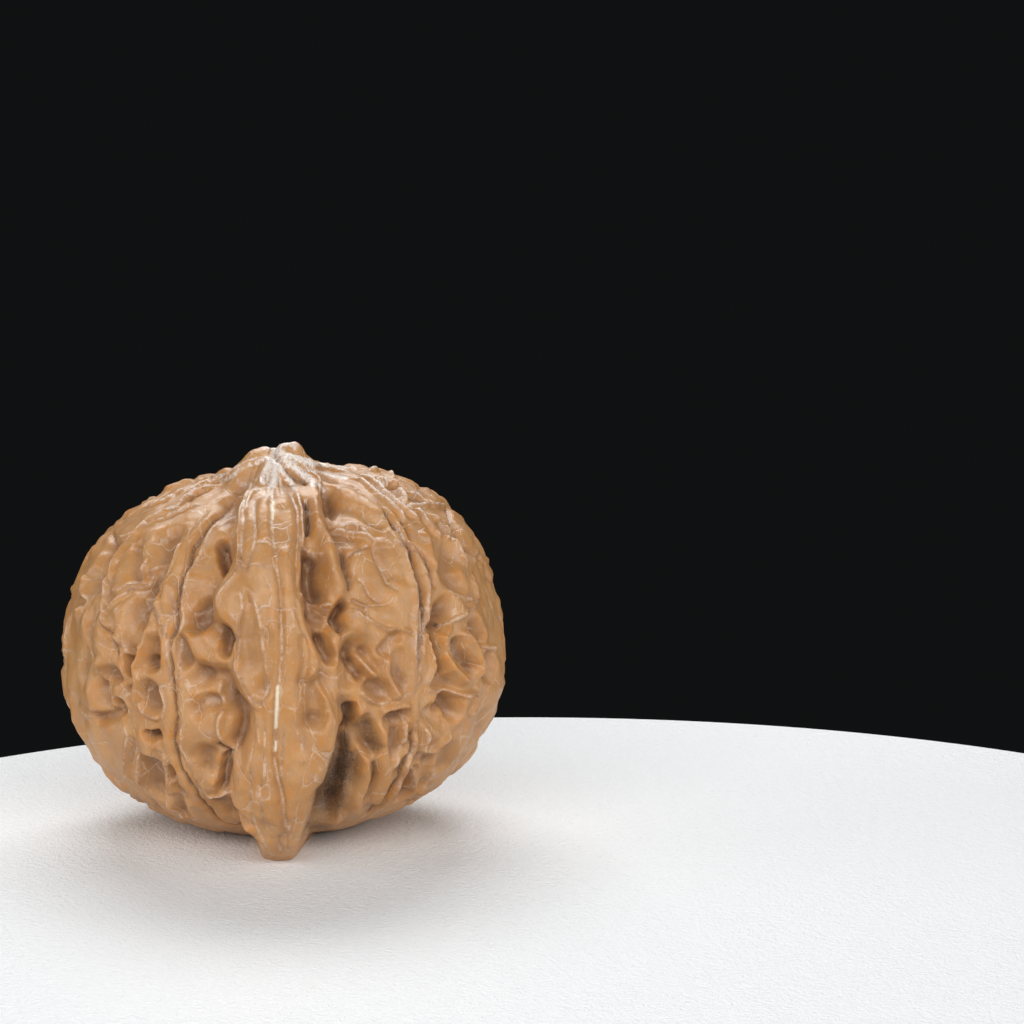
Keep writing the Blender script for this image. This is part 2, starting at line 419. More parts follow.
            (426, 615), (423, 635), (423, 655), (426, 672))),
        DrawnFold(RIDGE, 0.5, 0.5, ((387, 525), (395, 538), (403, 552), (409, 570), (414, 590), (416, 610),
            (415, 635), (414, 660), (415, 685), (412, 705))),
        DrawnFold(RIDGE, 0.5, 0.4, ((421, 605), (421, 640), (421, 670), (418, 690))),
        DrawnFold(RIDGE, 0.6, 0.6, ((430, 600), (427, 622), (430, 640), (435, 655), (437, 668), (431, 680),
            (424, 688))),
        DrawnFold(HOLLOW, 1.6, 0.65, ((428, 630), (431, 642), (436, 655), (439, 668))),
        DrawnFold(HOLLOW, 1.2, 0.6, ((433, 618), (437, 630))),
        DrawnFold(GROOVE, 0.7, 0.5, ((410, 720), (410, 738), (408, 752), (402, 765), (396, 778), (388, 790),
            (378, 802), (366, 815))),
        DrawnFold(RIDGE, 0.6, 0.5, ((405, 700), (406, 725), (405, 745), (399, 760), (392, 772))),
        DrawnFold(RIDGE, 0.7, 0.6, ((418, 690), (416, 715), (415, 740), (410, 760), (403, 775), (396, 790),
            (386, 804), (374, 814))),
    ),
    "the lower right side": (
        DrawnFold(LUMP, 0.55, 2.4, ((501, 645), (503, 670), (497, 702))),
        DrawnFold(LUMP, 0.5, 1.2, ((398, 471), (411, 476), (424, 485))),
        DrawnFold(RIDGE, 0.4, 0.3, ((349, 602), (358, 607), (369, 609))),
        DrawnFold(RIDGE, 0.35, 0.3, ((368, 609), (366, 619), (376, 626), (388, 631), (403, 632),
            (415, 635))),
        DrawnFold(RIDGE, 0.3, 0.3, ((352, 612), (362, 618), (367, 620))),
        DrawnFold(LUMP, 0.7, 1.2, ((356, 628), (362, 632))),
        DrawnFold(LUMP, 0.5, 1.1, ((378, 615), (385, 620))),
        DrawnFold(LUMP, 0.6, 1.6, ((400, 600), (402, 616))),
        DrawnFold(HOLLOW, 0.8, 0.6, ((394, 636), (388, 643), (382, 650))),
        DrawnFold(LUMP, 0.7, 1.0, ((372, 640), (366, 640))),
        DrawnFold(LUMP, 0.7, 1.6, ((398, 642), (403, 655))),
        DrawnFold(HOLLOW, 0.5, 0.7, ((366, 655), (374, 664))),
        DrawnFold(RIDGE, 0.6, 0.6, ((358, 650), (364, 662), (371, 672), (380, 680))),
        DrawnFold(RIDGE, 0.8, 0.7, ((387, 652), (386, 668), (390, 682), (398, 694), (402, 702))),
        DrawnFold(HOLLOW, 0.6, 0.7, ((395, 655), (396, 672), (400, 683))),
        DrawnFold(HOLLOW, 0.9, 1.0, ((373, 686), (380, 690))),
        DrawnFold(RIDGE, 0.5, 0.4, ((360, 690), (368, 699), (378, 703), (392, 703))),
        DrawnFold(RIDGE, 0.9, 0.7, ((380, 711), (392, 711), (404, 709), (412, 703))),
        DrawnFold(HOLLOW, 1.2, 0.8, ((388, 718), (400, 716))),
        DrawnFold(HOLLOW, 0.9, 0.9, ((394, 733), (397, 748))),
        DrawnFold(LUMP, 0.6, 0.8, ((385, 722), (384, 736))),
        DrawnFold(HOLLOW, 0.9, 0.8, ((446, 605), (440, 610))),
        DrawnFold(HOLLOW, 0.8, 0.8, ((440, 622), (443, 612))),
        DrawnFold(LUMP, 0.6, 0.9, ((458, 604), (462, 612))),
        DrawnFold(RIDGE, 0.4, 0.35, ((440, 628), (452, 620), (464, 614), (470, 608))),
        DrawnFold(RIDGE, 1.1, 0.8, ((455, 622), (447, 630), (443, 642), (446, 656), (453, 668), (462, 677),
            (472, 684))),
        DrawnFold(RIDGE, 1.0, 0.7, ((458, 636), (466, 636), (473, 643), (478, 654), (480, 667),
            (478, 680))),
        DrawnFold(HOLLOW, 1.1, 0.6, ((454, 643), (456, 652), (463, 660), (468, 667))),
        DrawnFold(LUMP, 0.5, 0.8, ((466, 648), (472, 660))),
        DrawnFold(HOLLOW, 1.0, 0.8, ((470, 628), (476, 640))),
        DrawnFold(LUMP, 0.5, 1.3, ((478, 622), (484, 634))),
        DrawnFold(RIDGE, 0.4, 0.4, ((476, 645), (488, 648), (497, 648))),
        DrawnFold(HOLLOW, 1.1, 1.0, ((487, 660), (485, 672))),
        DrawnFold(LUMP, 0.4, 1.6, ((495, 675), (492, 695))),
        DrawnFold(HOLLOW, 0.9, 1.2, ((438, 680), (446, 686))),
        DrawnFold(RIDGE, 0.6, 0.4, ((426, 688), (438, 691), (452, 693), (463, 695), (475, 694),
            (478, 684))),
        DrawnFold(HOLLOW, 1.7, 0.9, ((440, 702), (448, 704), (450, 711))),
        DrawnFold(LUMP, 0.6, 1.3, ((463, 704), (460, 716))),
        DrawnFold(RIDGE, 0.6, 0.5, ((477, 696), (475, 708), (470, 718))),
        DrawnFold(HOLLOW, 0.7, 0.9, ((430, 712), (440, 722))),
        DrawnFold(RIDGE, 0.9, 0.5, ((421, 722), (425, 732), (423, 744), (424, 752), (433, 752), (438, 745),
            (448, 737), (452, 728))),
        DrawnFold(LUMP, 0.7, 1.2, ((432, 728), (440, 732))),
        DrawnFold(HOLLOW, 0.8, 0.8, ((418, 757), (432, 759))),
        DrawnFold(HOLLOW, 0.7, 1.1, ((446, 752), (442, 765))),
        DrawnFold(HOLLOW, 1.2, 0.9, ((412, 772), (408, 785), (404, 795))),
        DrawnFold(RIDGE, 0.5, 0.35, ((418, 770), (418, 783), (416, 791), (408, 798))),
        DrawnFold(HOLLOW, 0.6, 0.8, ((428, 765), (425, 785))),
        DrawnFold(RIDGE, 0.5, 0.5, ((436, 770), (430, 785), (420, 797))),
        DrawnFold(GROOVE, 0.5, 0.4, ((400, 803), (415, 800), (428, 790))),
        DrawnFold(LUMP, 0.4, 1.4, ((465, 735), (460, 752))),
        DrawnFold(HOLLOW, 0.4, 1.0, ((482, 715), (478, 732))),
    ),
}

# marks of the front: strength, half width in mm and path in pixels
IVORY_MARKS: tuple[Mark, ...] = (
    (1.0, 0.16, ((273, 502), (273, 511), (273, 519))),
    (1.0, 0.24, ((278, 687), (277, 707), (276, 727))),
    (1.0, 0.16, ((276, 742), (276, 750))),
)
WORN_MARKS: tuple[Mark, ...] = (
    (1.0, 0.75, ((276, 451), (272, 462), (268, 471), (265, 480))),
    (1.0, 0.65, ((275, 460), (275, 473), (273, 485))),
    (0.9, 0.55, ((279, 464), (284, 474), (291, 483), (295, 488))),
    (0.85, 0.70, ((284, 458), (294, 466), (304, 475), (314, 483))),
    (0.8, 0.35, ((317, 483), (323, 490), (325, 497))),
    (0.9, 0.65, ((281, 453), (296, 458), (314, 464))),
    (0.7, 0.45, ((314, 464), (330, 466), (346, 467))),
    (0.8, 0.35, ((308, 470), (328, 474), (346, 478))),
    (0.8, 0.40, ((271, 457), (256, 463), (244, 467), (232, 476), (222, 481))),
    (0.7, 0.40, ((260, 446), (268, 446), (275, 449))),
    (0.7, 0.50, ((281, 447), (288, 443), (296, 446))),
    (0.6, 0.50, ((241, 484), (252, 485), (260, 491), (268, 496))),
    (0.5, 0.30, ((252, 490), (248, 500), (246, 510))),
)
STAIN_MARKS: tuple[Mark, ...] = (
    (0.95, 1.6, ((345, 761), (339, 774), (333, 789))),
    (0.60, 2.4, ((344, 764), (337, 785), (330, 803))),
    (0.50, 1.9, ((327, 806), (320, 821))),
    (0.75, 0.9, ((344, 737), (345, 748))),
    (0.90, 0.4, ((341, 751), (347, 752), (352, 753))),
    (0.60, 1.1, ((367, 726), (371, 738), (375, 746))),
    (0.30, 1.6, ((354, 728), (368, 736))),
    (0.50, 0.9, ((347, 705), (350, 717))),
    (0.90, 0.35, ((435, 624), (436, 625))),
)


def smooth_step(start: float, end: float, value: Array | float) -> Array | float:
    """0 below start, 1 above end, with a smooth rise between."""
    part = np.clip((value - start) / (end - start), 0.0, 1.0)
    return part * part * (3.0 - 2.0 * part)


def smooth_path(points: Any, step: float) -> Array:
    """A smooth curve through points.

    Args:
        points: The points to pass through, in any unit.
        step: About how far apart the curve's own points lie.

    Returns:
        The curve's points, the first and last as given.
    """
    points = np.asarray(points, float)
    if len(points) == 1:
        return points
    ends = np.vstack([2 * points[0] - points[1], points, 2 * points[-1] - points[-2]])
    pieces = [points[:1]]
    for before, start, end, after in zip(ends, ends[1:], ends[2:], ends[3:]):
        count = max(1, math.ceil(float(np.linalg.norm(end - start)) / step))
        t = (np.arange(1, count + 1) / count)[:, None]
        bend = (2 * before - 5 * start + 4 * end - after) * t ** 2
        turn = (3 * start - before - 3 * end + after) * t ** 3
        pieces.append(0.5 * (2 * start + (end - before) * t + bend + turn))
    return np.vstack(pieces)


@dataclass(frozen=True)
class PhotoCamera:
    """The photograph's camera, level and looking down on the nut's front."""

    pixels_per_mm: float = 10.1
    distance: float = 500.0
    elevation: float = math.radians(12.0)
    nut_middle: tuple[float, float, float] = (0.0, 0.0, 17.5)
    nut_middle_pixel: tuple[float, float] = (284.0, 650.0)

    @property
    def focal_pixels(self) -> float:
        """Focal length in the photograph's pixels."""
        return self.pixels_per_mm * self.distance

    @property
    def toward(self) -> Array:
        """Unit direction from the nut's middle to the camera."""
        return np.array([0.0, -math.cos(self.elevation), math.sin(self.elevation)])

    @property
    def place(self) -> Array:
        """Where the camera stands."""
        return np.array(self.nut_middle) + self.distance * self.toward

    def axes(self) -> tuple[Array, Array, Array]:
        """How the camera is turned, so that the nut's middle falls on its pixel.

        Returns:
            Unit directions to its right, up and forward.
        """
        across = (self.nut_middle_pixel[0] - PHOTO_SIZE / 2) / self.focal_pixels
        above = (PHOTO_SIZE / 2 - self.nut_middle_pixel[1]) / self.focal_pixels
        length = math.sqrt(1 + across * across + above * above)
        sink = math.sin(self.elevation) * length / math.sqrt(1 + above * above)
        pitch = -math.asin(sink) - math.atan(above)
        heading = -math.atan2(across, math.cos(pitch) - above * math.sin(pitch))
        right = np.array([math.cos(heading), -math.sin(heading), 0.0])
        level = np.array([math.sin(heading), math.cos(heading), 0.0])
        forward = level * math.cos(pitch) + np.array([0.0, 0.0, math.sin(pitch)])
        return right, np.cross(right, forward), forward

    def rays(self, pixels: Array) -> Array:
        """Unit directions from the camera through pixels."""
        right, above, forward = self.axes()
        across = (pixels[:, 0] - PHOTO_SIZE / 2) / self.focal_pixels
        down = (pixels[:, 1] - PHOTO_SIZE / 2) / self.focal_pixels
        rays = forward + np.outer(across, right) - np.outer(down, above)
        return rays / np.linalg.norm(rays, axis=1)[:, None]

    def pixels(self, points: Array) -> Array:
        """Where points in mm fall in the photograph."""
        right, above, forward = self.axes()
        offset = points - self.place
        flat = offset @ np.stack([right, -above], axis=1) / (offset @ forward)[:, None]
        return PHOTO_SIZE / 2 + flat * self.focal_pixels

    def facing(self, directions: Array) -> Array:
        """1 where a direction points at the camera, -1 where it points away."""
        return directions @ self.toward

    def make(self) -> bpy.types.Object:
        """Adds the camera to the scene and looks through it."""
        data = bpy.data.cameras.new("photo_camera")
        data.sensor_width = 36.0
        data.lens = self.focal_pixels / PHOTO_SIZE * data.sensor_width
        data.clip_start = 0.01
        camera = bpy.data.objects.new("photo_camera", data)
        bpy.context.collection.objects.link(camera)
        right, above, forward = self.axes()
        turn = Matrix((right, above, -forward)).transposed().to_4x4()
        camera.matrix_world = Matrix.Translation(self.place * METRES_PER_MM) @ turn
        bpy.context.scene.camera = camera
        return camera


@dataclass
class PlainShell:
    """The shell with no folds: a superellipsoid body, the seam ridge and the tip."""

    camera: PhotoCamera
    core: tuple[float, float, float] = (0.1, 0.0, 17.56)
    half_width: float = 21.6
    half_depth: float = 20.6
    half_height: float = 17.9
    body_turn: float = 0.1
    power_above: float = 2.43
    power_below: float = 2.26
    power_right_extra: float = 0.07
    crest_half_depth: float = 23.3
    crest_above_core: float = 18.7
    crest_below_core: float = 20.3
    crest_power: float = 2.8
    side_softness: float = 0.9
    rounding: float = 0.9
    even_half_width: float = 3.6
    half_width_under: float = 2.6
    tip_place: tuple[float, float] = (-0.75, -3.1)
    tip_height: float = 2.6
    tip_half_width: float = 4.1
    tip_power: float = 4.0
    tip_reach: tuple[float, float] = (0.8, 4.3)
    edges: dict[int, tuple[Array, Array]] = field(default_factory=dict)

    def __post_init__(self) -> None:
        """Throws the ridge's drawn edges onto a first shell with an even ridge."""
        edges = {}
        for side, drawn in ((-1, RIDGE_LEFT_EDGE), (1, RIDGE_RIGHT_EDGE)):
            places = self.lift(np.array(drawn, float))
            angle = self.seam_angle(places - self.core)
            order = np.argsort(angle)
            under = side * self.half_width_under
            edges[side] = (np.append(angle[order], math.pi), np.append(places[order, 0], under))
        self.edges = edges

    @staticmethod
    def seam_angle(directions: Array) -> Array:
        """Angle round the seam: 0 at the tip, a quarter turn at the front, negative on the back."""
        return np.arctan2(-directions[:, 1], directions[:, 2])

    def body_radius(self, directions: Array) -> Array:
        """Distance of the plain body's surface from the core."""
        turn_cos, turn_sin = math.cos(self.body_turn), math.sin(self.body_turn)
        x = turn_cos * directions[:, 0] + turn_sin * directions[:, 2]
        z = turn_cos * directions[:, 2] - turn_sin * directions[:, 0]
        level = np.maximum(np.hypot(x, directions[:, 1]), 1e-9)
        half_level = level / np.hypot(x / self.half_width, directions[:, 1] / self.half_depth).clip(1e-9)
        power = np.where(z > 0, self.power_above, self.power_below) + self.power_right_extra * x / level
        return ((level / half_level) ** power + np.abs(z / self.half_height) ** power) ** (-1 / power)

    def crest_radius(self, directions: Array) -> Array:
        """Distance of the ridge's crest from the core, by the direction's slope in the seam's plane."""
        size = np.maximum(np.hypot(directions[:, 1], directions[:, 2]), 1e-6)
        level = np.maximum(np.abs(directions[:, 1]) / size, 1e-3) / self.crest_half_depth
        rise = directions[:, 2] / size
        tall = np.abs(rise / np.where(rise > 0, self.crest_above_core, self.crest_below_core))
        return (level ** self.crest_power + tall ** self.crest_power) ** (-1 / self.crest_power)

    def ridge_sides(self, directions: Array) -> tuple[Array, Array]:
        """Sideways place of the ridge's left and right edge beside each direction."""
        if not self.edges:
            half = np.full(len(directions), self.even_half_width)
            return -half, half
        angle = self.seam_angle(directions)
        left = np.interp(np.abs(angle), *self.edges[-1])
        right = np.interp(np.abs(angle), *self.edges[1])
        back = angle < 0
        return np.where(back, -right, left), np.where(back, -left, right)

    def radius(self, directions: Array) -> Array:
        """Distance of the plain shell's surface from the core."""
        body = self.body_radius(directions)
        sideways = self.core[0] + directions[:, 0] * body
        left, right = self.ridge_sides(directions)
        inside = np.minimum(sideways - left, right - sideways)
        raised = smooth_step(-self.side_softness, self.side_softness, inside)
        tip_x, tip_y = self.tip_place
        raised *= smooth_step(*self.tip_reach, np.hypot(sideways - tip_x, directions[:, 1] * body - tip_y))
        middle = np.clip(2 * inside / (right - left), 0.0, 1.0)
        crest = self.crest_radius(directions) - self.rounding * (1 - middle) ** 2
        radius = body + np.maximum(crest - body, 0.0) * raised
        place = self.core + directions * radius[:, None]
        away = np.hypot(place[:, 0] - tip_x, place[:, 1] - tip_y) / self.tip_half_width
        tip = self.tip_height * np.exp(-(away ** self.tip_power)) * directions[:, 2].clip(0.0)
        return radius + np.where(directions[:, 2] > 0, tip, 0.0)

    def surface(self, directions: Array) -> Array:
        """Points of the plain shell along directions from the core."""
        return self.core + directions * self.radius(directions)[:, None]

    def lift(self, pixels: Array, height: Any = 0.0) -> Array:
        """Finds what the photograph shows at pixels.

        Args:
            pixels: Pixels of the photograph, on the nut or just beside it.
            height: How far the thing seen there stands out from the plain shell, in mm.

        Returns:
            The points of the plain shell under it, and for pixels beside the nut the nearest ones.
        """
        rays = self.camera.rays(pixels)
        start = self.camera.distance - 27.0
        steps = np.full(len(rays), start)
        nearest = np.full(len(rays), np.inf)
        found = np.zeros(len(rays), bool)
        for step in np.arange(start, start + 30.0, 0.25):
            offset = self.camera.place + rays * step - self.core
            length = np.linalg.norm(offset, axis=1)
            outside = length - self.radius(offset / length[:, None]) - height
            closer = (outside < nearest) & ~found
            steps[closer] = step
            nearest[closer] = outside[closer]
            found |= outside < 0
        offset = self.camera.place + rays * steps[:, None] - self.core
        return self.surface(offset / np.linalg.norm(offset, axis=1)[:, None])

    def drawn_path(self, pixels: Pixels) -> Array:
        """A path on the shell, smoothed through drawn pixels."""
        return self.lift(smooth_path(pixels, 5.0))

    def polar_path(self, angles: Array) -> Array:
        """A path on the shell through azimuth and elevation pairs, in degrees; azimuth 0 is the front."""
        azimuth, elevation = np.radians(smooth_path(angles, 4.0)).T
        level = np.cos(elevation)
        return self.surface(np.stack([np.sin(azimuth) * level, -np.cos(azimuth) * level, np.sin(elevation)], axis=1))


def near_path(path: Array, points: Array) -> tuple[Array, Array]:
    """Measures points against a path.

    Args:
        path: The path's points.
        points: The points to measure.

    Returns:
        Each point's distance from the path, and the share of the path's length at the nearest place.
    """
    if len(path) == 1:
        return np.linalg.norm(points - path[0], axis=1), np.full(len(points), 0.5)
    lengths = np.linalg.norm(np.diff(path, axis=0), axis=1).clip(1e-9)
    passed = np.concatenate([[0.0], np.cumsum(lengths)])
    distance = np.full(len(points), np.inf)
    share = np.zeros(len(points))
    for start, end, length, before in zip(path, path[1:], lengths, passed):
        part = np.clip((points - start) @ (end - start) / length ** 2, 0.0, 1.0)
        away = np.linalg.norm(points - start - part[:, None] * (end - start), axis=1)
        closer = away < distance
        distance[closer] = away[closer]
        share[closer] = (before + part[closer] * length) / passed[-1]
    return distance, share


def touched_by(path: Array, reach: float, points: Array) -> tuple[Array, Array, Array]:
    """Finds the points within reach of a path.

    Args:
        path: The path's points.
        reach: How far the path reaches.
        points: The points to search.

    Returns:
        Indices of the points, their distance as a share of the reach, and their share of the path's length.
    """
    inside = np.all((points > path.min(0) - reach) & (points < path.max(0) + reach), axis=1)
    near = np.flatnonzero(inside)
    away, share = near_path(path, points[near])
    touched = away < reach
    return near[touched], away[touched] / reach, share[touched]


@dataclass
class Relief:
    """Height of a set of folds at points, in mm, kept apart by what made it, and the thin lines drawn with them."""

    swell: Array
    raised: Array
    sunk: Array
    thread: Array
    crack: Array

    @property
    def height(self) -> Array:
        """Whole height of the folds."""
        return self.swell + self.raised - self.sunk

    def joined(self, share: Array, other: "Relief", other_share: Array) -> "Relief":
        """A share of this relief with a share of another."""
        pairs = zip(vars(self).values(), vars(other).values())
        return Relief(*(mine * share + theirs * other_share for mine, theirs in pairs))


@dataclass(frozen=True)
class FoldPress:
    """Presses folds into the shell: lumps and hollows add up, ridges and grooves blend by the largest."""

    strength: dict[FoldKind, float]
    reach: dict[FoldKind, float] = field(default_factory=lambda: {
        LUMP: 1.5, HOLLOW: 1.5, RIDGE: 1.35, GROOVE: 1.2, CREASE: 1.2})
    thread_half_width: float = 0.24
    crack_half_width: float = 0.26

    @staticmethod
    def profile(kind: FoldKind, away: Array) -> Array:
        """Height across a fold, from 1 on its path to 0 at its reach."""
        if kind is LUMP:
            return (1 - away * away) ** 2
        if kind is HOLLOW:
            return 1 - smooth_step(0.15, 1.0, away)
        if kind is RIDGE:
            return 1 - smooth_step(0.0, 1.0, away)
        return (1 - away) ** 1.5

    def press(self, points: Array, folds: list[Fold]) -> Relief:
        """Works out the folds' relief.

        Args:
            points: Points of the shell.
            folds: The folds that lie on it.

        Returns:
            Their relief at the points.
        """
        relief = Relief(*(np.zeros(len(points)) for _ in range(5)))
        for fold in folds:
            near, away, share = touched_by(fold.path, fold.half_width * self.reach[fold.kind], points)
            size = self.strength[fold.kind] * fold.height * self.profile(fold.kind, away)
            if fold.kind is LUMP:
                relief.swell[near] += size
            elif fold.kind is HOLLOW:
                relief.swell[near] -= size
            else:
                size = size * smooth_step(-0.05, 0.16, share) * smooth_step(-0.05, 0.16, 1 - share)
                layer = relief.raised if fold.kind is RIDGE else relief.sunk
                layer[near] = np.maximum(layer[near], size)
                away_mm = away * fold.half_width * self.reach[fold.kind]
                ends = smooth_step(0.0, 0.1, share) * smooth_step(0.0, 0.1, 1 - share)
                if fold.kind is GROOVE:
                    crack = ends * (1 - smooth_step(0.2, 1.0, away_mm / self.crack_half_width))
                    relief.crack[near] = np.maximum(relief.crack[near], crack * min(fold.height, 1.0))
                else:
                    pale = ends * (1 - smooth_step(0.2, 1.0, away_mm / self.thread_half_width))
                    pale *= 1 - smooth_step(0.5, 0.85, fold.half_width)
                    relief.thread[near] = np.maximum(relief.thread[near], pale)
        return relief


@dataclass
class BackFolds:
    """Folds of the sides and the back, made by rule and a seeded draw."""

    shell: PlainShell
    seed: int = 7
    side_ribs: tuple[int, ...] = (64, 86, 112, 250, 276, 300)
    main_ribs: tuple[int, ...] = (146, 214)
    spacing: float = 2.5
    tries: int = 6000
    front_facing: float = 0.22

    def all(self) -> list[Fold]:
        """Every fold of the sides and the back."""
        draw = np.random.default_rng(self.seed)
        return self.ribs(draw) + self.strewn(draw)

    def ribs(self, draw: np.random.Generator) -> list[Fold]:
        """Ribs with their grooves, wandering from the tip to the base.

        Args:
            draw: The seeded draw.

        Returns:
            The ribs' folds.
        """
        folds = []
        elevation = np.arange(66.0, -62.0, -11.0)
        level = np.cos(np.radians(elevation))
        for number, azimuth in enumerate(self.side_ribs + self.main_ribs):
            main = azimuth in self.main_ribs
            side = 1 if number % 2 else -1
            wander = np.cumsum(draw.normal(0.0, 2.2, len(elevation)))
            middle = azimuth + (wander - wander.mean()) * (0.4 + 0.6 * level)
            lines = [(RIDGE, 0.85 if main else 0.6, 0.8, 0.0), (GROOVE, 0.7 if main else 0.4, 0.5, 2.6)]
            if main:
                lines.append((RIDGE, 0.55, 0.6, 5.0))
            for kind, height, half_width, beside in lines:
                turned = middle + side * beside / level.clip(0.35)
                folds.append(Fold(kind, height, half_width, self.shell.polar_path(np.stack([turned, elevation], 1))))
        return folds

    def strewn(self, draw: np.random.Generator) -> list[Fold]:
        """Hollows with a rim, lumps and short ridges, spaced out between the ribs.

        Args:
            draw: The seeded draw.

        Returns:
            The folds.
        """
        folds: list[Fold] = []
        taken: list[Array] = []
        for _ in range(self.tries):
            direction = draw.normal(size=3)
            direction /= np.linalg.norm(direction)
            azimuth = math.degrees(math.atan2(direction[0], -direction[1])) % 360
            elevation = math.degrees(math.asin(direction[2]))
            level = math.cos(math.radians(elevation))
            if elevation < -64 or self.shell.camera.facing(direction[None])[0] > self.front_facing:
                continue
            place = self.shell.surface(direction[None])[0]
            crowded = any(math.dist(place, other) < self.spacing for other in taken)
            if crowded or abs((azimuth - 180) * level) < 11:
                continue
            taken.append(place)
            folds += self.cluster(draw, azimuth, elevation)
        return folds

    def cluster(self, draw: np.random.Generator, azimuth: float, elevation: float) -> list[Fold]:
        """One drawn fold, with its rim if it is a hollow.

        Args:
            draw: The seeded draw.
            azimuth: Where the fold's middle is, in degrees from the front.
            elevation: The same, in degrees above the core.

        Returns:
            The fold, or the hollow and its rim.
        """
        steep = 0.3 + 0.7 * (1 - float(smooth_step(35.0, 65.0, elevation)))
        stretch = 1 / max(math.cos(math.radians(elevation)), 0.35)
        lean, bend = draw.normal(0.0, 5.0) * stretch, draw.normal(0.0, 3.0) * stretch
        length = draw.uniform(3.0, 12.0)
        angles = np.array([(azimuth - lean, elevation + length), (azimuth + bend, elevation),
                           (azimuth + lean, elevation - length)])
        path = self.shell.polar_path(angles)
        choice = draw.uniform()
        if choice < 0.45:
            hollow = Fold(HOLLOW, draw.uniform(0.6, 1.6) * steep, draw.uniform(0.7, 1.3), path)
            rim = self.shell.polar_path(angles + np.array([draw.choice([-5.5, 5.5]) * stretch, 0.0]))
            return [hollow, Fold(RIDGE, draw.uniform(0.3, 0.8) * steep, draw.uniform(0.5, 0.8), rim)]
        if choice < 0.78:
            return [Fold(LUMP, draw.uniform(0.4, 1.1) * steep, draw.uniform(0.9, 1.5), path)]
        return [Fold(RIDGE, draw.uniform(0.4, 0.9) * steep, draw.uniform(0.5, 0.8), path)]


class Value:
    """A shader socket that can be added, multiplied and so on, each step making its Math node."""

    def __init__(self, graph: "Graph", socket: bpy.types.NodeSocket) -> None:
        """Wraps a socket of the graph."""
        self.graph = graph
        self.socket = socket

    def _math(self, operation: str, first: Any, second: Any = None) -> "Value":
        """A Math node on one or two numbers or values."""
        inputs = {0: first} if second is None else {0: first, 1: second}
        return self.graph.node("ShaderNodeMath", {"operation": operation}, inputs)

    def __add__(self, other: Any) -> "Value":
        """This value plus another."""
        return self._math("ADD", self, other)

    def __radd__(self, other: Any) -> "Value":
        """A number plus this value."""
        return self._math("ADD", other, self)

    def __sub__(self, other: Any) -> "Value":
        """This value less another."""
        return self._math("SUBTRACT", self, other)

    def __rsub__(self, other: Any) -> "Value":
        """A number less this value."""
        return self._math("SUBTRACT", other, self)

    def __mul__(self, other: Any) -> "Value":
        """This value times another."""
        return self._math("MULTIPLY", self, other)

    def __rmul__(self, other: Any) -> "Value":
        """A number times this value."""
        return self._math("MULTIPLY", other, self)

    def larger(self, other: Any) -> "Value":
        """The larger of this value and another."""
        return self._math("MAXIMUM", self, other)

    def step(self, start: float, end: float) -> "Value":
        """0 at start and 1 at end, with a smooth rise or fall between."""
        settings = {"interpolation_type": "SMOOTHSTEP", "clamp": True}
        return self.graph.node("ShaderNodeMapRange", settings, {"Value": self, "From Min": start, "From Max": end})


class Graph:
    """A material's node graph."""

    def __init__(self, name: str) -> None:
        """Starts a material with a Principled shader."""
        self.material = bpy.data.materials.new(name)
        self.material.use_nodes = True
        self.tree = self.material.node_tree
        self.shader = self.tree.nodes["Principled BSDF"]

    def node(self, kind: str, settings: dict[str, Any], inputs: dict[Any, Any], output: Any = 0) -> Value:
        """Adds a node.

        Args:
            kind: The node's type.
            settings: Its own settings, set before its sockets.
            inputs: Values or links of its sockets, by name or number.
            output: Name or number of the output to return.

        Returns:
            That output, as a value.
        """
        node = self.tree.nodes.new(kind)
        for name, setting in settings.items():
            setattr(node, name, setting)
        for name, value in inputs.items():
            if isinstance(value, Value):
                self.tree.links.new(value.socket, node.inputs[name])
            else:
                node.inputs[name].default_value = value
        return Value(self, node.outputs[output])

    def attribute(self, name: str) -> Value:
        """A number kept at the mesh's points."""
        return self.node("ShaderNodeAttribute", {"attribute_name": name}, {}, "Fac")

    def place(self) -> Value:
        """Place on the object, in metres."""
        return self.node("ShaderNodeTexCoord", {}, {}, "Object")

    def scaled(self, place: Value, scale: tuple[float, float, float]) -> Value:
        """A place stretched along each axis."""
        return self.node("ShaderNodeVectorMath", {"operation": "MULTIPLY"}, {0: place, 1: scale})

    def noise(self, place: Value, per_mm: float, detail: float = 3.0, roughness: float = 0.5) -> Value:
        """Cloudy noise from 0 to 1, with about so many spots to a millimetre."""
        inputs = {"Vector": place, "Scale": per_mm / METRES_PER_MM, "Detail": detail, "Roughness": roughness}
        return self.node("ShaderNodeTexNoise", {}, inputs, "Fac")

    def blend(self, factor: Value, first: Any, second: Any) -> Value:
        """First colour where factor is 0, second where it is 1."""
        return self.node("ShaderNodeMix", {"data_type": "RGBA"}, {0: factor, 6: first, 7: second}, 2)

    def surface(self, **sockets: Any) -> None:
        """Sets or links the shader's own sockets, named with underscores for spaces."""
        for name, value in sockets.items():
            socket = self.shader.inputs[name.replace("_", " ")]
            if isinstance(value, Value):
                self.tree.links.new(value.socket, socket)
            else:
                socket.default_value = value


Colour = tuple[float, float, float, float]


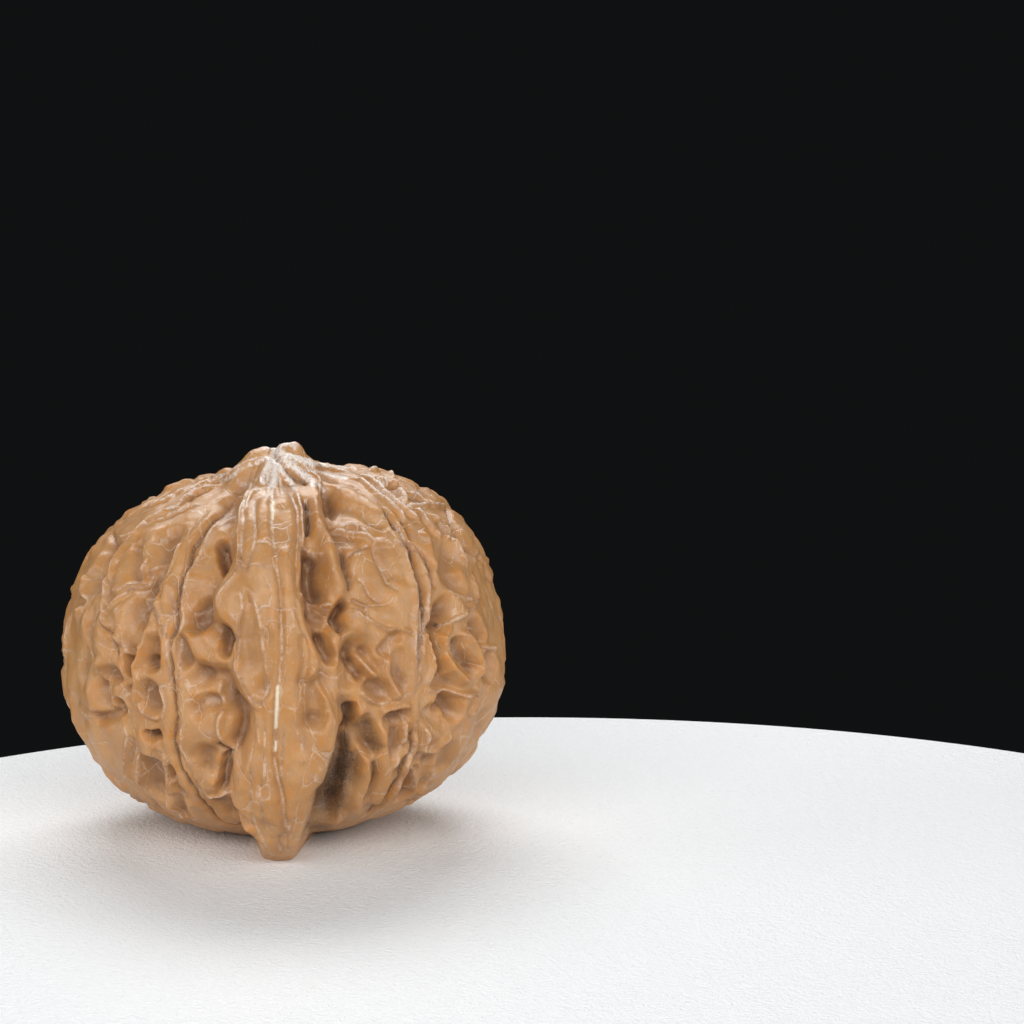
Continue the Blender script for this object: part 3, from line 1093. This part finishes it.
@dataclass(frozen=True)
class WaxedShellFinish:
    """Tan shell rubbed to a satin sheen: orange crests, greyed hollows, pale dust in fine lines, dark stains."""

    tan: Colour = (0.430, 0.208, 0.070, 1.0)
    light_tan: Colour = (0.500, 0.262, 0.102, 1.0)
    amber: Colour = (0.480, 0.205, 0.044, 1.0)
    blush: Colour = (0.410, 0.232, 0.128, 1.0)
    orange: Colour = (0.530, 0.210, 0.042, 1.0)
    hollow: Colour = (0.245, 0.120, 0.056, 1.0)
    ashen: Colour = (0.360, 0.232, 0.160, 1.0)
    brown: Colour = (0.240, 0.100, 0.038, 1.0)
    deep: Colour = (0.110, 0.050, 0.026, 1.0)
    dust: Colour = (0.60, 0.43, 0.31, 1.0)
    worn: Colour = (0.76, 0.690, 0.630, 1.0)
    ivory: Colour = (0.80, 0.70, 0.52, 1.0)
    stain: Colour = (0.034, 0.024, 0.018, 1.0)
    roughness: float = 0.48

    def net(self, graph: Graph, place: Value) -> Value:
        """A net of hair-thin lines round small cells, drawn out up and down.

        Args:
            graph: The material's graph.
            place: Place on the shell.

        Returns:
            1 on the lines, 0 between them.
        """
        bend = graph.node("ShaderNodeTexNoise", {}, {"Vector": place, "Scale": 300.0, "Detail": 2.0}, "Color")
        shifted = graph.node("ShaderNodeVectorMath", {"operation": "MULTIPLY_ADD"},
                             {0: bend, 1: (0.0022, 0.0022, 0.0022), 2: place})
        drawn_out = graph.scaled(shifted, (1.0, 1.0, 0.45))
        settings = {"feature": "DISTANCE_TO_EDGE"}
        gap = graph.node("ShaderNodeTexVoronoi", settings, {"Vector": drawn_out, "Scale": 330.0}, "Distance")
        patches = graph.noise(place, 0.3, 2.0).step(0.38, 0.56)
        return gap.step(0.030, 0.005) * patches

    def above(self, graph: Graph, place: Value, low: float, high: float) -> Value:
        """0 below one height and 1 above another, in mm."""
        height = graph.node("ShaderNodeSeparateXYZ", {}, {0: place}, "Z")
        return height.step(low * METRES_PER_MM, high * METRES_PER_MM)

    def colour(self, graph: Graph, place: Value, net: Value) -> Value:
        """Colour over the shell.

        Args:
            graph: The material's graph.
            place: Place on the shell.
            net: Where the thin lines are.

        Returns:
            The colour.
        """
        broad, fine = graph.attribute("broad"), graph.attribute("fine")
        speck = graph.noise(place, 2.6, 4.0, 0.7)
        colour = graph.blend(graph.noise(place, 0.25, 3.0).step(0.35, 0.7), self.tan, self.light_tan)
        amber = graph.noise(graph.scaled(place, (1.0, 1.0, 0.7)), 0.8, 4.0, 0.65).step(0.5, 0.66)
        colour = graph.blend(amber * 0.75, colour, self.amber)
        blush = graph.noise(graph.scaled(place, (1.3, 1.3, 0.9)), 0.7, 4.0, 0.65).step(0.53, 0.68)
        colour = graph.blend(blush * 0.7, colour, self.blush)
        sunken = broad.step(0.15, -0.85) * (0.5 + 0.6 * speck)
        ashes = graph.noise(place, 0.45, 4.0, 0.6).step(0.5, 0.68)
        colour = graph.blend(sunken, colour, graph.blend(ashes, self.hollow, self.ashen))
        crest = fine.step(0.02, 0.26) * (0.15 + 0.5 * speck + 0.5 * amber)
        colour = graph.blend(crest, colour, self.orange)
        cleft = fine.step(-0.22, -0.5).larger(broad.step(-1.2, -2.3)) * 0.75
        crack = graph.attribute("crack").step(0.15, 0.75) * speck.step(0.3, 0.5)
        colour = graph.blend(cleft.larger(crack * 0.85), colour, self.deep)
        flecks = graph.noise(graph.scaled(place, (1.0, 1.0, 0.6)), 3.6, 3.0, 0.75).step(0.56, 0.74) * 0.45
        thread, high = graph.attribute("thread").step(0.15, 0.85), self.above(graph, place, 29.0, 35.5)
        dusty = (graph.noise(place, 0.45, 3.0).step(0.4, 0.6) + high).step(0.0, 1.0)
        colour = graph.blend(thread * (0.5 - 0.5 * dusty), colour, self.brown)
        lines = (thread * (0.2 + 0.6 * dusty)).larger(net * 0.6) * speck.step(0.34, 0.6)
        pale = graph.blend(high, self.dust, self.worn)
        streaks = graph.noise(graph.scaled(place, (1.0, 1.0, 0.5)), 4.5, 4.0, 0.75).step(0.3, 0.7)
        rubbed = (graph.attribute("worn") * (0.4 + 0.9 * streaks) + graph.attribute("fine") * 1.2).step(0.26, 0.96)
        rubbed = rubbed * graph.attribute("worn").step(0.0, 0.3)
        colour = graph.blend(flecks.larger(lines).larger(rubbed), colour, pale)
        grain = graph.noise(place, 5.0, 3.0, 0.85).step(0.32, 0.62)
        soaked = graph.attribute("stain") * (0.5 + 0.5 * grain)
        colour = graph.blend(soaked, colour, self.stain)
        return graph.blend(graph.attribute("ivory"), colour, self.ivory)

    def material(self) -> bpy.types.Material:
        """Makes the shell's material."""
        graph = Graph("waxed_walnut_shell")
        place = graph.place()
        net = self.net(graph, place)
        fibres = graph.noise(graph.scaled(place, (1.0, 1.0, 0.45)), 1.1, 4.0, 0.6)
        grain = graph.noise(place, 3.0, 3.0, 0.6)
        stained = graph.attribute("stain")
        height = fibres * 0.8 + grain * (0.4 + 1.2 * stained) - net * 0.5
        bump = graph.node("ShaderNodeBump", {}, {"Strength": 0.6, "Distance": 0.00012, "Height": height}, "Normal")
        worn = graph.noise(place, 0.5, 4.0)
        sunken = graph.attribute("broad").step(0.0, -0.9)
        roughness = self.roughness + 0.12 * sunken + 0.16 * (worn - 0.5) + 0.3 * stained - 0.1 * net
        roughness = roughness - 0.08 * self.above(graph, place, 34.0, 37.5)
        graph.surface(Base_Color=self.colour(graph, place, net), Roughness=roughness, Normal=bump)
        graph.surface(Coat_Weight=0.12, Coat_Roughness=0.34)
        return graph.material


@dataclass
class WalnutShell:
    """The whole shell: its mesh and its finish."""

    camera: PhotoCamera
    box: tuple[Array, Array]
    grid_rounds: tuple[int, ...] = (15, 15)
    triangles: int = 190_000
    keep_front: float = 0.4
    keep_factor: float = 0.03
    front_wander: float = 0.16
    back_wander: float = 0.7
    seen_share: float = 0.3
    blend_facing: tuple[float, float] = (-0.1, 0.2)
    rim_calm: float = 0.5
    rim_facing: tuple[float, float] = (-0.3, 0.0)
    tip_fine: tuple[float, float] = (8.0, 5.0)
    swell_height: float = 0.15
    swell_size: float = 3.4
    pillow_heights: tuple[float, float] = (0.07, 0.3)
    pillow_facing: tuple[float, float] = (0.4, 0.0)
    pillow_size: float = 3.1
    thread_height: float = 0.07
    front_press: FoldPress = FoldPress({LUMP: 0.95, HOLLOW: 1.0, RIDGE: 0.85, GROOVE: 1.0, CREASE: 1.0})
    back_press: FoldPress = FoldPress({LUMP: 0.5, HOLLOW: 0.5, RIDGE: 0.55, GROOVE: 0.7, CREASE: 1.0})
    finish: WaxedShellFinish = WaxedShellFinish()

    def __post_init__(self) -> None:
        """Settles the plain shell and every fold on it."""
        self.shell = PlainShell(self.camera)
        drawn = [fold for region in FRONT_FOLDS.values() for fold in region]
        curves = [smooth_path(fold.path, 5.0) for fold in drawn]
        sign = {LUMP: 1, RIDGE: 1, HOLLOW: -1, GROOVE: -1, CREASE: -1}
        heights = [np.full(len(curve), sign[fold.kind] * fold.height) for fold, curve in zip(drawn, curves)]
        places = self.shell.lift(np.vstack(curves), self.seen_share * np.concatenate(heights))
        paths = np.split(places, np.cumsum([len(curve) for curve in curves])[:-1])
        self.front = [Fold(*fold[:3], path) for fold, path in zip(drawn, paths)]
        self.back = BackFolds(self.shell).all()

    def sphere(self) -> bpy.types.Object:
        """A finely divided cube blown up to a sphere, to be pressed into the shell."""
        bpy.ops.object.select_all(action="DESELECT")
        bpy.ops.mesh.primitive_cube_add(size=2.0)
        ball = bpy.context.object
        bpy.ops.object.mode_set(mode="EDIT")
        bpy.ops.mesh.select_all(action="SELECT")
        for cuts in self.grid_rounds:
            bpy.ops.mesh.subdivide(number_cuts=cuts)
        bpy.ops.object.mode_set(mode="OBJECT")
        ball.name = ball.data.name = "walnut_shell"
        return ball

    @staticmethod
    def points_of(mesh: bpy.types.Mesh) -> Array:
        """The mesh's points, one row each."""
        points = np.empty(len(mesh.vertices) * 3)
        mesh.vertices.foreach_get("co", points)
        return points.reshape(-1, 3)

    def wandered(self, points: Array, amount: float, size: float) -> Array:
        """Points moved by a smooth noise, so that drawn lines wander as grown ones do."""
        shift = np.array([noise.noise_vector(Vector(point)) for point in points / size])
        return points + amount * shift

    def pillows(self, points: Array) -> Array:
        """Small soft cells between a net of fine creases, from 0 on the net to 1."""
        cells = self.wandered(points, 1.2, 3.0) / self.pillow_size * np.array([1.0, 1.0, 0.65])
        gaps = np.empty(len(points))
        for index, cell in enumerate(cells):
            near = noise.voronoi(Vector(cell))[0]
            gaps[index] = near[1] - near[0]
        return smooth_step(0.0, 0.45, gaps)

    def relief(self, directions: Array, plain: Array) -> Relief:
        """The folds' relief: drawn ones in front, ruled ones behind, calmer at the rim between them.

        Args:
            directions: Unit directions from the shell's core.
            plain: The plain shell's points along them.

        Returns:
            The relief at those points.
        """
        facing = self.camera.facing(directions)
        front = self.front_press.press(self.wandered(plain, self.front_wander, 2.2), self.front)
        back = self.back_press.press(self.wandered(plain, self.back_wander, 4.5), self.back)
        share = smooth_step(*self.blend_facing, facing)
        calm = 1 - self.rim_calm * smooth_step(*self.rim_facing, facing)
        return front.joined(share, back, (1 - share) * calm)

    def press_points(self, directions: Array) -> tuple[Array, Relief]:
        """Presses every fold into the plain shell.

        Args:
            directions: Unit directions from the shell's core.

        Returns:
            The finished points in mm, cut flat at the base, and their relief.
        """
        plain = self.shell.surface(directions)
        relief = self.relief(directions, plain)
        swell = np.array([noise.fractal(Vector(point), 0.8, 2.1, 3) for point in plain / self.swell_size])
        height = relief.height + self.swell_height * swell
        front, extra = self.pillow_heights
        aside = smooth_step(*self.pillow_facing, self.camera.facing(directions))
        height += (front + extra * aside) * (self.pillows(plain) - 0.6)
        height += self.thread_height * relief.thread
        calm = smooth_step(-0.96, -0.84, directions[:, 2])
        points = plain + directions * (height * calm)[:, None]
        points[:, 2] = points[:, 2].clip(0.0)
        return points, relief

    def fitted(self, points: Array) -> Array:
        """Points in metres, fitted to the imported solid's box."""
        low, high = points.min(0), points.max(0)
        return self.box[0] + (points - low) / (high - low) * (self.box[1] - self.box[0])

    def smoothed(self, points: Array, edges: Array, rounds: int) -> Array:
        """Points moved to the middle of their neighbours, over and over."""
        count = np.bincount(edges.ravel(), minlength=len(points))[:, None]
        for _ in range(rounds):
            total = np.zeros_like(points)
            for axis in range(3):
                total[:, axis] = (np.bincount(edges[:, 0], points[edges[:, 1], axis], len(points))
                                  + np.bincount(edges[:, 1], points[edges[:, 0], axis], len(points)))
            points = total / count
        return points

    def build(self) -> bpy.types.Object:
        """Makes the shell's finished mesh.

        Returns:
            The shell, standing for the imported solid.
        """
        shell = self.sphere()
        mesh = shell.data
        cube = np.tan(self.points_of(mesh) * math.pi / 4)
        directions = cube / np.linalg.norm(cube, axis=1)[:, None]
        points, relief = self.press_points(directions)
        mesh.vertices.foreach_set("co", points.ravel())
        mesh.update()
        tip_x, tip_y = self.shell.tip_place
        near_tip = smooth_step(*self.tip_fine, np.hypot(points[:, 0] - tip_x, points[:, 1] - tip_y))
        near_tip *= points[:, 2] > self.shell.core[2]
        seen = smooth_step(0.0, 0.35, self.camera.facing(directions) + 0.2 * near_tip)
        spared = seen * (self.keep_front + (1 - self.keep_front) * relief.thread.clip(relief.crack))
        keep = shell.vertex_groups.new(name="fine")
        for weight in np.unique(spared.round(1)):
            keep.add(np.flatnonzero(spared.round(1) == weight).tolist(), float(weight), "REPLACE")
        thin = shell.modifiers.new("fewer facets", "DECIMATE")
        thin.vertex_group = keep.name
        thin.invert_vertex_group = True
        thin.vertex_group_factor = self.keep_factor
        thin.ratio = self.triangles / (2 * len(mesh.polygons))
        bpy.ops.object.modifier_apply(modifier=thin.name)
        shell.vertex_groups.clear()
        self.mark(mesh)
        bpy.ops.object.shade_smooth()
        mesh.materials.clear()
        mesh.materials.append(self.finish.material())
        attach(shell, "root")
        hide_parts("walnut")
        return shell

    def mark(self, mesh: bpy.types.Mesh) -> None:
        """Keeps at each point what the finish needs, and fits the mesh to its box.

        Args:
            mesh: The shell's mesh, in mm.
        """
        points = self.points_of(mesh)
        offset = points - self.shell.core
        directions = offset / np.linalg.norm(offset, axis=1)[:, None]
        relief = self.relief(directions, self.shell.surface(directions))
        edges = np.empty(len(mesh.edges) * 2, np.int32)
        mesh.edges.foreach_get("vertices", edges)
        edges = edges.reshape(-1, 2)
        near = self.smoothed(points, edges, 6)
        far = self.smoothed(near, edges, 60)
        marks = {
            "fine": np.einsum("ij,ij->i", points - near, directions),
            "broad": np.einsum("ij,ij->i", points - far, directions),
            "crack": relief.crack,
            "thread": relief.thread,
            "stain": self.painted(points, STAIN_MARKS),
            "worn": self.painted(points, WORN_MARKS),
            "ivory": self.painted(points, IVORY_MARKS),
        }
        for name, numbers in marks.items():
            layer = mesh.attributes.new(name, "FLOAT", "POINT")
            layer.data.foreach_set("value", numbers.astype(np.float32))
            LOG.info("mark %s: %.2f to %.2f", name, numbers.min(), numbers.max())
        mesh.vertices.foreach_set("co", self.fitted(points).ravel())
        mesh.update()

    def painted(self, points: Array, marks: tuple[Mark, ...]) -> Array:
        """Strength of the marks drawn over the photograph.

        Args:
            points: Points of the shell, in mm.
            marks: The marks.

        Returns:
            The strength at each point, 0 on the side turned away.
        """
        camera = self.camera
        finished = self.fitted(points) / METRES_PER_MM
        pixels = camera.pixels(finished)
        seen = camera.facing(finished - self.shell.core) > 0
        strength = np.zeros(len(points))
        for amount, half_width, path in marks:
            near, away, _ = touched_by(smooth_path(path, 5.0), half_width * camera.pixels_per_mm, pixels)
            strength[near] = np.maximum(strength[near], amount * (1 - smooth_step(0.3, 1.0, away)))
        return strength * seen


@dataclass(frozen=True)
class SoftBox:
    """A soft light: place and size in metres, power in watts."""

    name: str
    place: tuple[float, float, float]
    size: tuple[float, float]
    power: float

    def build(self, aim: Vector) -> None:
        """Hangs the light, turned to a place."""
        data = bpy.data.lights.new(self.name, "AREA")
        data.shape = "RECTANGLE"
        data.size, data.size_y = self.size
        data.energy = self.power
        lamp = bpy.data.objects.new(self.name, data)
        bpy.context.collection.objects.link(lamp)
        lamp.location = self.place
        lamp.rotation_euler = (aim - lamp.location).to_track_quat("-Z", "Y").to_euler()


@dataclass
class Studio:
    """Pale round table, soft lights and dark surroundings."""

    table_middle: tuple[float, float] = (0.022, -0.043)
    table_radius: float = 0.089
    table_thickness: float = 0.004
    table_colour: Colour = (0.85, 0.865, 0.88, 1.0)
    surroundings: Colour = (0.9, 0.95, 1.0, 1.0)
    surroundings_strength: float = 0.006
    aim: tuple[float, float, float] = (0.0, 0.0, 0.015)
    lights: tuple[SoftBox, ...] = (
        SoftBox("back_softbox", (0.0, 0.26, 0.30), (0.28, 0.14), 1.1),
        SoftBox("front_softbox", (0.0, -0.52, 0.33), (1.0, 0.4), 4.9),
        SoftBox("left_softbox", (-0.42, -0.04, 0.12), (0.25, 0.25), 0.6),
        SoftBox("right_softbox", (0.42, -0.04, 0.12), (0.25, 0.25), 0.5),
    )

    def table(self) -> bpy.types.Object:
        """A pale round table under the nut."""
        bpy.ops.object.select_all(action="DESELECT")
        bpy.ops.mesh.primitive_cylinder_add(
            vertices=256, radius=self.table_radius, depth=self.table_thickness,
            location=(*self.table_middle, -self.table_thickness / 2))
        table = bpy.context.object
        table.name = table.data.name = "pale_table"
        graph = Graph("pale_table")
        grain = graph.noise(graph.place(), 2.2, 2.0, 0.7)
        bump = graph.node("ShaderNodeBump", {}, {"Strength": 0.6, "Distance": 0.0004, "Height": grain}, "Normal")
        graph.surface(Base_Color=self.table_colour, Roughness=0.5, Normal=bump)
        table.data.materials.append(graph.material)
        table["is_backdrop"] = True
        return table

    def build(self) -> None:
        """Sets up the table, the lights and the surroundings."""
        self.table()
        for light in self.lights:
            light.build(Vector(self.aim))
        world = bpy.data.worlds.new("dark_studio")
        world.use_nodes = True
        backdrop = world.node_tree.nodes["Background"]
        backdrop.inputs["Color"].default_value = self.surroundings
        backdrop.inputs["Strength"].default_value = self.surroundings_strength
        scene = bpy.context.scene
        scene.world = world
        scene.view_settings.view_transform = "Standard"


def main() -> None:
    """Builds the shell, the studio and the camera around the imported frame."""
    logging.basicConfig(level=logging.INFO, format="%(message)s")
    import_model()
    cad_box = [np.array(corner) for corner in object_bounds()]
    camera = PhotoCamera()
    camera.make()
    shell = WalnutShell(camera, (cad_box[0], cad_box[1])).build()
    LOG.info("walnut_shell: %d triangles", sum(len(face.vertices) - 2 for face in shell.data.polygons))
    Studio().build()
    LOG.info("pale_table and lights")
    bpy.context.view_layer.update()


if __name__ == "__main__":
    main()
